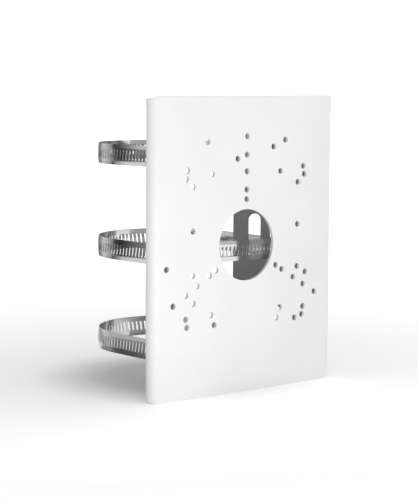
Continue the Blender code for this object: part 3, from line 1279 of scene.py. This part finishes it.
    def worm(self) -> Object:
        """Cut the worm: rings of a cylinder raised into a right-hand thread."""
        worm = self.turned(self.worm_root, -self.worm_length / 2, self.worm_length / 2, self.worm_sides)
        edit()
        pick(worm, "EDGE", lambda m: abs(m.y) < WELD)
        bpy.ops.mesh.subdivide(number_cuts=self.worm_rings)
        edit(False)
        rise = self.worm_radius - self.worm_root
        for vert in worm.data.vertices:
            if abs(vert.co.y) > self.worm_length / 2 - WELD:
                continue
            turned = math.atan2(vert.co.x, vert.co.z)
            phase = (vert.co.y / self.pitch - turned / FULL_TURN) % 1
            ridge = max(0.0, min(1.0, self.flank_steepness * (2 - 4 * abs(phase - 0.5))))
            radius = self.worm_root + rise * ridge
            across = Vector((vert.co.x, 0, vert.co.z)).normalized() * radius
            vert.co = (across.x, vert.co.y, across.z)
        return worm

    def screw(self) -> Object:
        """Make the worm screw: worm, necks, two collars, and a chamfered hex head with a driver slot."""
        half_housing = self.housing_length / 2 + self.fit_gap
        head_start = half_housing + self.collar_length
        head_end = head_start + self.hex_length
        worm = self.worm()
        core = self.turned(self.worm_root, -half_housing - WELD, half_housing + WELD, self.worm_sides)
        far_collar = self.turned(self.collar_radius, -head_start, -half_housing, self.collar_sides)
        near_collar = self.turned(self.collar_radius, half_housing, head_start, self.collar_sides)
        for collar in (far_collar, near_collar):
            soften_edges(collar, self.collar_round, segments=3)
        head = self.hex_head(head_start, head_end)
        for piece in (core, far_collar, near_collar, head):
            combine(worm, piece, "UNION")
        activate(worm)
        bpy.ops.object.shade_smooth_by_angle(angle=math.radians(35))
        worm.name = "screw_pattern"
        return worm

    def hex_head(self, start: float, end: float) -> Object:
        """Make the slotted hex head.

        Args:
            start: Where it starts along the screw.
            end: Where it ends.

        Returns:
            The head.
        """
        corner = self.hex_across / math.sqrt(3)
        head = self.turned(corner, start - WELD, end, 6, roll=math.pi / 6)
        reach = end - start
        rim = self.hex_across / 2 - self.hex_chamfer / 2
        bpy.ops.mesh.primitive_cone_add(
            vertices=self.chamfer_sides,
            radius1=rim + reach * math.tan(self.chamfer_angle),
            radius2=rim,
            depth=reach,
            location=(0, end - reach / 2, 0),
            rotation=(-math.pi / 2, 0, 0),
        )
        chamfer = start_piece("chamfer")
        combine(head, chamfer, "INTERSECT")
        bpy.ops.mesh.primitive_cube_add(size=1, location=(0, end, 0))
        driver = start_piece("driver")
        bake_place((self.driver_width, 2 * self.driver_depth, 2 * self.hex_across))
        combine(head, driver, "DIFFERENCE")
        soften_edges(head, self.hex_round, angle=25)
        return head

    def build(self, looks: dict[str, Material]) -> None:
        """Model each piece once, then copy it to the three levels.

        Args:
            looks: The material of each piece.
        """
        patterns = {
            "band": (self.band(), Slot.BAND_STEEL),
            "housing": (self.housing(), Slot.PRESSING_STEEL),
            "saddle": (self.saddle(), Slot.PRESSING_STEEL),
            "screw": (self.screw(), Slot.SCREW_STEEL),
        }
        axis_y = self.pole_y + self.sheet.thickness / 2 - self.depth / 2
        turn = Matrix.Rotation(self.bearing, 4, "Z") @ Matrix.Rotation(math.pi, 4, "X")
        for level in Level:
            on_axis = Matrix.Translation((0, axis_y, self.height_of(level)))
            at_worm = on_axis @ turn @ Matrix.Translation((self.worm_axis, 0, 0))
            for word, (pattern, slot) in patterns.items():
                piece = copy_of(pattern, f"{level.word}_{word}", on_axis if word == "band" else at_worm)
                body = f"{level.word}_worm" if word == "screw" else f"{level.word}_clamp"
                finish_piece(piece, body, f"{level.word}_clamp_{word}", looks[word])
        for pattern, _ in patterns.values():
            remove(pattern)


@dataclass(frozen=True)
class SoftBox:
    """An area light that looks at the object."""

    name: str
    spot: Triple
    size: Pair
    power: float

    def hang(self, aim: Triple) -> None:
        """Hang the light.

        Args:
            aim: The point that it looks at.
        """
        data = bpy.data.lights.new(self.name, "AREA")
        data.shape = "RECTANGLE"
        data.size, data.size_y = self.size
        data.energy = self.power
        light = add_object(self.name, data)
        light.location = self.spot
        light.rotation_euler = (Vector(self.spot) - Vector(aim)).to_track_quat("Z", "Y").to_euler()
        light.visible_camera = False


@dataclass(frozen=True)
class CardRow:
    """One row of the graded wall that the bands mirror: its heights, and its greys from left to right."""

    foot: float
    head: float
    shades: Pairs


@dataclass(frozen=True)
class PlacedCard:
    """A graded card with a place of its own, first tilted about X and then turned about Z."""

    name: str
    spot: Triple
    tilt: float
    turn: float
    size: Pair
    shades: Pairs

    @property
    def place(self) -> Matrix:
        """Where the card lies or stands."""
        turn = Matrix.Rotation(math.radians(self.turn), 4, "Z")
        tilt = Matrix.Rotation(math.radians(self.tilt), 4, "X")
        return Matrix.Translation(self.spot) @ turn @ tilt


BODY_SHADES = (
    (0.32, 0.28), (0.348, 0.2), (0.376, 0.0), (0.393, 0.0),
    (0.404, 0.34), (0.573, 0.75), (0.64, 0.8), (0.80, 0.3),
)
MARGIN_SHADES = (
    (0.375, 1.0), (0.392, 0.75), (0.402, 0.1), (0.424, 0.06),
    (0.445, 0.38), (0.59, 0.65), (0.65, 0.8), (0.80, 0.3),
)
CROWN_SHADES = (
    (0.342, 0.8), (0.372, 0.2), (0.395, 0.02), (0.405, 0.03),
    (0.417, 0.3), (0.58, 0.75), (0.65, 0.8), (0.80, 0.3),
)
RIM_SHADES = ((0.30, 0.65), (0.45, 0.6), (0.60, 0.85), (0.80, 0.6))
SILL_SHADES = ((0.378, 0.32), (0.386, 0.15), (0.404, 0.55), (0.573, 0.75), (0.80, 0.4))
FLOOR_SHADES = ((0.0, 0.25), (0.4, 0.18), (0.5, 0.08), (0.6, 0.3), (1.0, 0.4))
CHANNEL_SHADES = ((0.0, 0.2), (0.3, 0.2), (0.45, 0.37), (0.85, 0.37), (0.9, 0.05))
HEM_SHADES = ((0.18, 1.25), (0.24, 0.2), (0.42, 0.2), (0.53, 0.3), (0.88, 0.3), (0.93, 0.05))
SIDE_SHADES = ((0.0, 0.5), (0.35, 0.06), (0.6, 0.10), (1.0, 0.5))
LEFT_WALL = (
    CardRow(0.0008, 0.0155, SILL_SHADES),
    CardRow(0.0155, 0.0345, RIM_SHADES),
    CardRow(0.0345, 0.057, MARGIN_SHADES),
    CardRow(0.057, 0.102, BODY_SHADES),
    CardRow(0.102, 0.125, MARGIN_SHADES),
    CardRow(0.125, 0.154, BODY_SHADES),
    CardRow(0.154, 0.172, CROWN_SHADES),
    CardRow(0.172, 0.50, BODY_SHADES),
)
PLACED_CARDS = (
    PlacedCard("floor_card", (-0.10, 0.075, 0.0008), 0, 37, (0.16, 0.10), FLOOR_SHADES),
    PlacedCard("channel_card", (0.04075, -0.0575, 0.08925), -90, 0, (0.0425, 0.0215), CHANNEL_SHADES),
    PlacedCard("hem_card", (0.036, -0.0575, 0.07425), -90, 0, (0.052, 0.0085), HEM_SHADES),
)


@dataclass
class Studio:
    """Floor, lights, graded cards, black flags, and the camera that stands where the photograph's did."""

    azimuth: float = math.radians(-40.098)
    elevation: float = math.radians(6.155)
    roll: float = math.radians(0.381)
    eye: Triple = (-0.6575, -0.8064, 0.1957)
    focal_pixels: float = 1607.56
    sensor: float = 36.0
    near: float = 0.05
    far: float = 50
    floor_radius: float = 9.0
    light_from: Triple = (0.30, -0.94, 0.14)
    shade_from: float = -0.8
    shade_to: float = 0.7
    dim_side: float = 0.12
    bright_side: float = 0.71
    surround: float = 1.05
    aim: Triple = (0, 0, 0.09)
    soft_boxes: tuple[SoftBox, ...] = (
        SoftBox("top_light", (0.4, -0.6, 2.6), (2.4, 2.4), 8),
        SoftBox("left_light", (-0.13, -0.24, 0.062), (0.12, 0.13), 0.10),
    )
    wall_bearing: float = 127
    wall_distance: float = 0.165
    wall_width: float = 0.32
    side_bearings: tuple[float, ...] = (20, 75, 185)
    side_distance: float = 0.34
    side_foot: float = 0.001
    side_size: Pair = (0.20, 0.6)
    hole_flag_spot: Triple = (0, -0.0595, 0.092)
    hole_flag_radius: float = 0.0227
    gap_flag_spot: Triple = (0, -0.0145, 0.092)
    gap_flag_size: Pair = (0.038, 0.184)
    round_sides: int = 96

    def camera(self) -> None:
        """Set up the camera at the photograph's place, with its lens."""
        a, e = self.azimuth, self.elevation
        back = Vector((math.sin(a) * math.cos(e), -math.cos(a) * math.cos(e), math.sin(e)))
        right = Vector((math.cos(a), math.sin(a), 0))
        up = back.cross(right)
        turn = Matrix((right, up, back)).transposed().to_4x4()
        data = bpy.data.cameras.new("photo_camera")
        data.sensor_width = self.sensor
        data.lens = self.focal_pixels * self.sensor / max(PHOTO_WIDTH, PHOTO_HEIGHT)
        data.clip_start = self.near
        data.clip_end = self.far
        camera = add_object("photo_camera", data)
        camera.matrix_world = Matrix.Translation(self.eye) @ turn @ Matrix.Rotation(self.roll, 4, "Z")
        bpy.context.scene.camera = camera

    def floor(self) -> None:
        """Lay a round floor of pale paper that meets the white surround without a line."""
        bpy.ops.mesh.primitive_circle_add(
            vertices=self.round_sides, radius=self.floor_radius, fill_type="NGON"
        )
        paper = start_piece("studio_floor")
        paper.data.materials.append(StudioPaper().make())

    def world(self) -> None:
        """Light the room from the front and a little from the right, and show the camera plain white."""
        world = bpy.data.worlds.new("studio")
        world.use_nodes = True
        nodes = NodePaper(world.node_tree)
        where = nodes.add("ShaderNodeTexCoord").outputs["Generated"]
        toward = Vector(self.light_from).normalized()
        facing = nodes.add("ShaderNodeVectorMath", {0: where, 1: toward}, operation="DOT_PRODUCT")
        inputs: Inputs = {"Value": facing.outputs["Value"]}
        inputs |= {"From Min": self.shade_from, "From Max": self.shade_to}
        inputs |= {"To Min": self.dim_side, "To Max": self.bright_side}
        shade = nodes.add("ShaderNodeMapRange", inputs, interpolation_type="SMOOTHSTEP")
        direct = nodes.add("ShaderNodeLightPath").outputs["Is Camera Ray"]
        seen = nodes.add("ShaderNodeMix", {0: direct, 2: shade.outputs["Result"], 3: self.surround})
        background = nodes.tree.nodes["Background"]
        nodes.put(background.inputs["Strength"], seen.outputs[0])
        nodes.put(background.inputs["Color"], WHITE)
        bpy.context.scene.world = world

    def card(self, name: str, place: Matrix, size: Pair, shades: Pairs) -> None:
        """Put up a graded card that only the steel mirrors.

        Args:
            name: The card's name.
            place: Where it stands or lies, with its face along its own Z.
            size: Its width and height.
            shades: Its greys from its left edge to its right, each with its place from 0 to 1.
        """
        bpy.ops.mesh.primitive_plane_add(size=1)
        card = start_piece(name)
        card.data.transform(Matrix.Diagonal((*size, 1, 1)))
        card.matrix_world = place
        sheet = NodeSheet(name)
        where = sheet.coordinates("Object", (1 / size[0], 1, 1))
        across = sheet.add("ShaderNodeSeparateXYZ", {"Vector": where})
        spot = sheet.add("ShaderNodeMath", {0: across.outputs["X"], 1: 0.5}, operation="ADD")
        greys = sheet.greys(spot.outputs["Value"], shades)
        sheet.dress(Emission_Color=greys, Emission_Strength=1, Base_Color=BLACK, Specular_IOR_Level=0)
        card.data.materials.append(sheet.material)
        card.visible_camera = False
        card.visible_diffuse = False
        card.visible_shadow = False

    def standing(self, bearing: float, distance: float, foot: float, height: float) -> Matrix:
        """Give the place of a card that stands upright and faces the object.

        Args:
            bearing: Where it stands, in degrees from +X towards +Y.
            distance: Its distance from the object's axis.
            foot: The height of its lower edge.
            height: Its height.

        Returns:
            The place.
        """
        spot = Vector((*(distance * unit(math.radians(bearing))), foot + height / 2))
        turn = Vector((-spot.x, -spot.y, 0)).to_track_quat("Z", "Y").to_matrix().to_4x4()
        return Matrix.Translation(spot) @ turn

    def cards(self) -> None:
        """Put up the cards: a wall at the left, one on the floor, two in the channel and three around."""
        for number, row in enumerate(LEFT_WALL):
            height = row.head - row.foot
            place = self.standing(self.wall_bearing, self.wall_distance, row.foot, height)
            self.card(f"left_card_{number + 1}", place, (self.wall_width, height), row.shades)
        for placed in PLACED_CARDS:
            self.card(placed.name, placed.place, placed.size, placed.shades)
        for number, bearing in enumerate(self.side_bearings):
            place = self.standing(bearing, self.side_distance, self.side_foot, self.side_size[1])
            self.card(f"side_card_{number + 1}", place, self.side_size, SIDE_SHADES)

    def flag(self, name: str) -> None:
        """Make the primitive that was just added a black flag, which shades the object but isn't seen.

        Args:
            name: The flag's name.
        """
        flag = start_piece(name)
        flag.data.materials.append(NodeSheet(name).dress(Base_Color=BLACK, Specular_IOR_Level=0))
        flag.visible_camera = False
        flag.visible_glossy = False

    def flags(self) -> None:
        """Shade the channel: a flag behind the cable hole and one in the gap between the wings."""
        bpy.ops.mesh.primitive_circle_add(
            vertices=self.round_sides,
            radius=self.hole_flag_radius,
            fill_type="NGON",
            rotation=UPRIGHT,
            location=self.hole_flag_spot,
        )
        self.flag("hole_flag")
        bpy.ops.mesh.primitive_plane_add(size=1, rotation=UPRIGHT, location=self.gap_flag_spot)
        bpy.context.object.scale = (*self.gap_flag_size, 1)
        self.flag("gap_flag")

    def build(self) -> None:
        """Set up the whole studio."""
        self.camera()
        self.floor()
        self.world()
        for box in self.soft_boxes:
            box.hang(self.aim)
        self.cards()
        self.flags()
        bpy.context.scene.view_settings.view_transform = "Standard"


def main() -> None:
    """Build the studio, the sheet and the clamps in order."""
    logging.basicConfig(level=logging.INFO, format="%(name)s: %(message)s")
    Studio().build()
    sheet = FoldedSheet()
    clamps = BandClamp(sheet)
    sheet.build(-clamps.depth / 2, PowderCoat().make())
    pressing = PressedSteel().make()
    zinc = PressedSteel("bright_zinc_plate", (0.80, 0.81, 0.82), (0.68, 0.69, 0.70), 0.16, 0.28)
    looks = {
        "band": RolledSteel().make(),
        "housing": pressing,
        "saddle": pressing,
        "screw": zinc.make(),
    }
    clamps.build(looks)


if __name__ == "__main__":
    main()
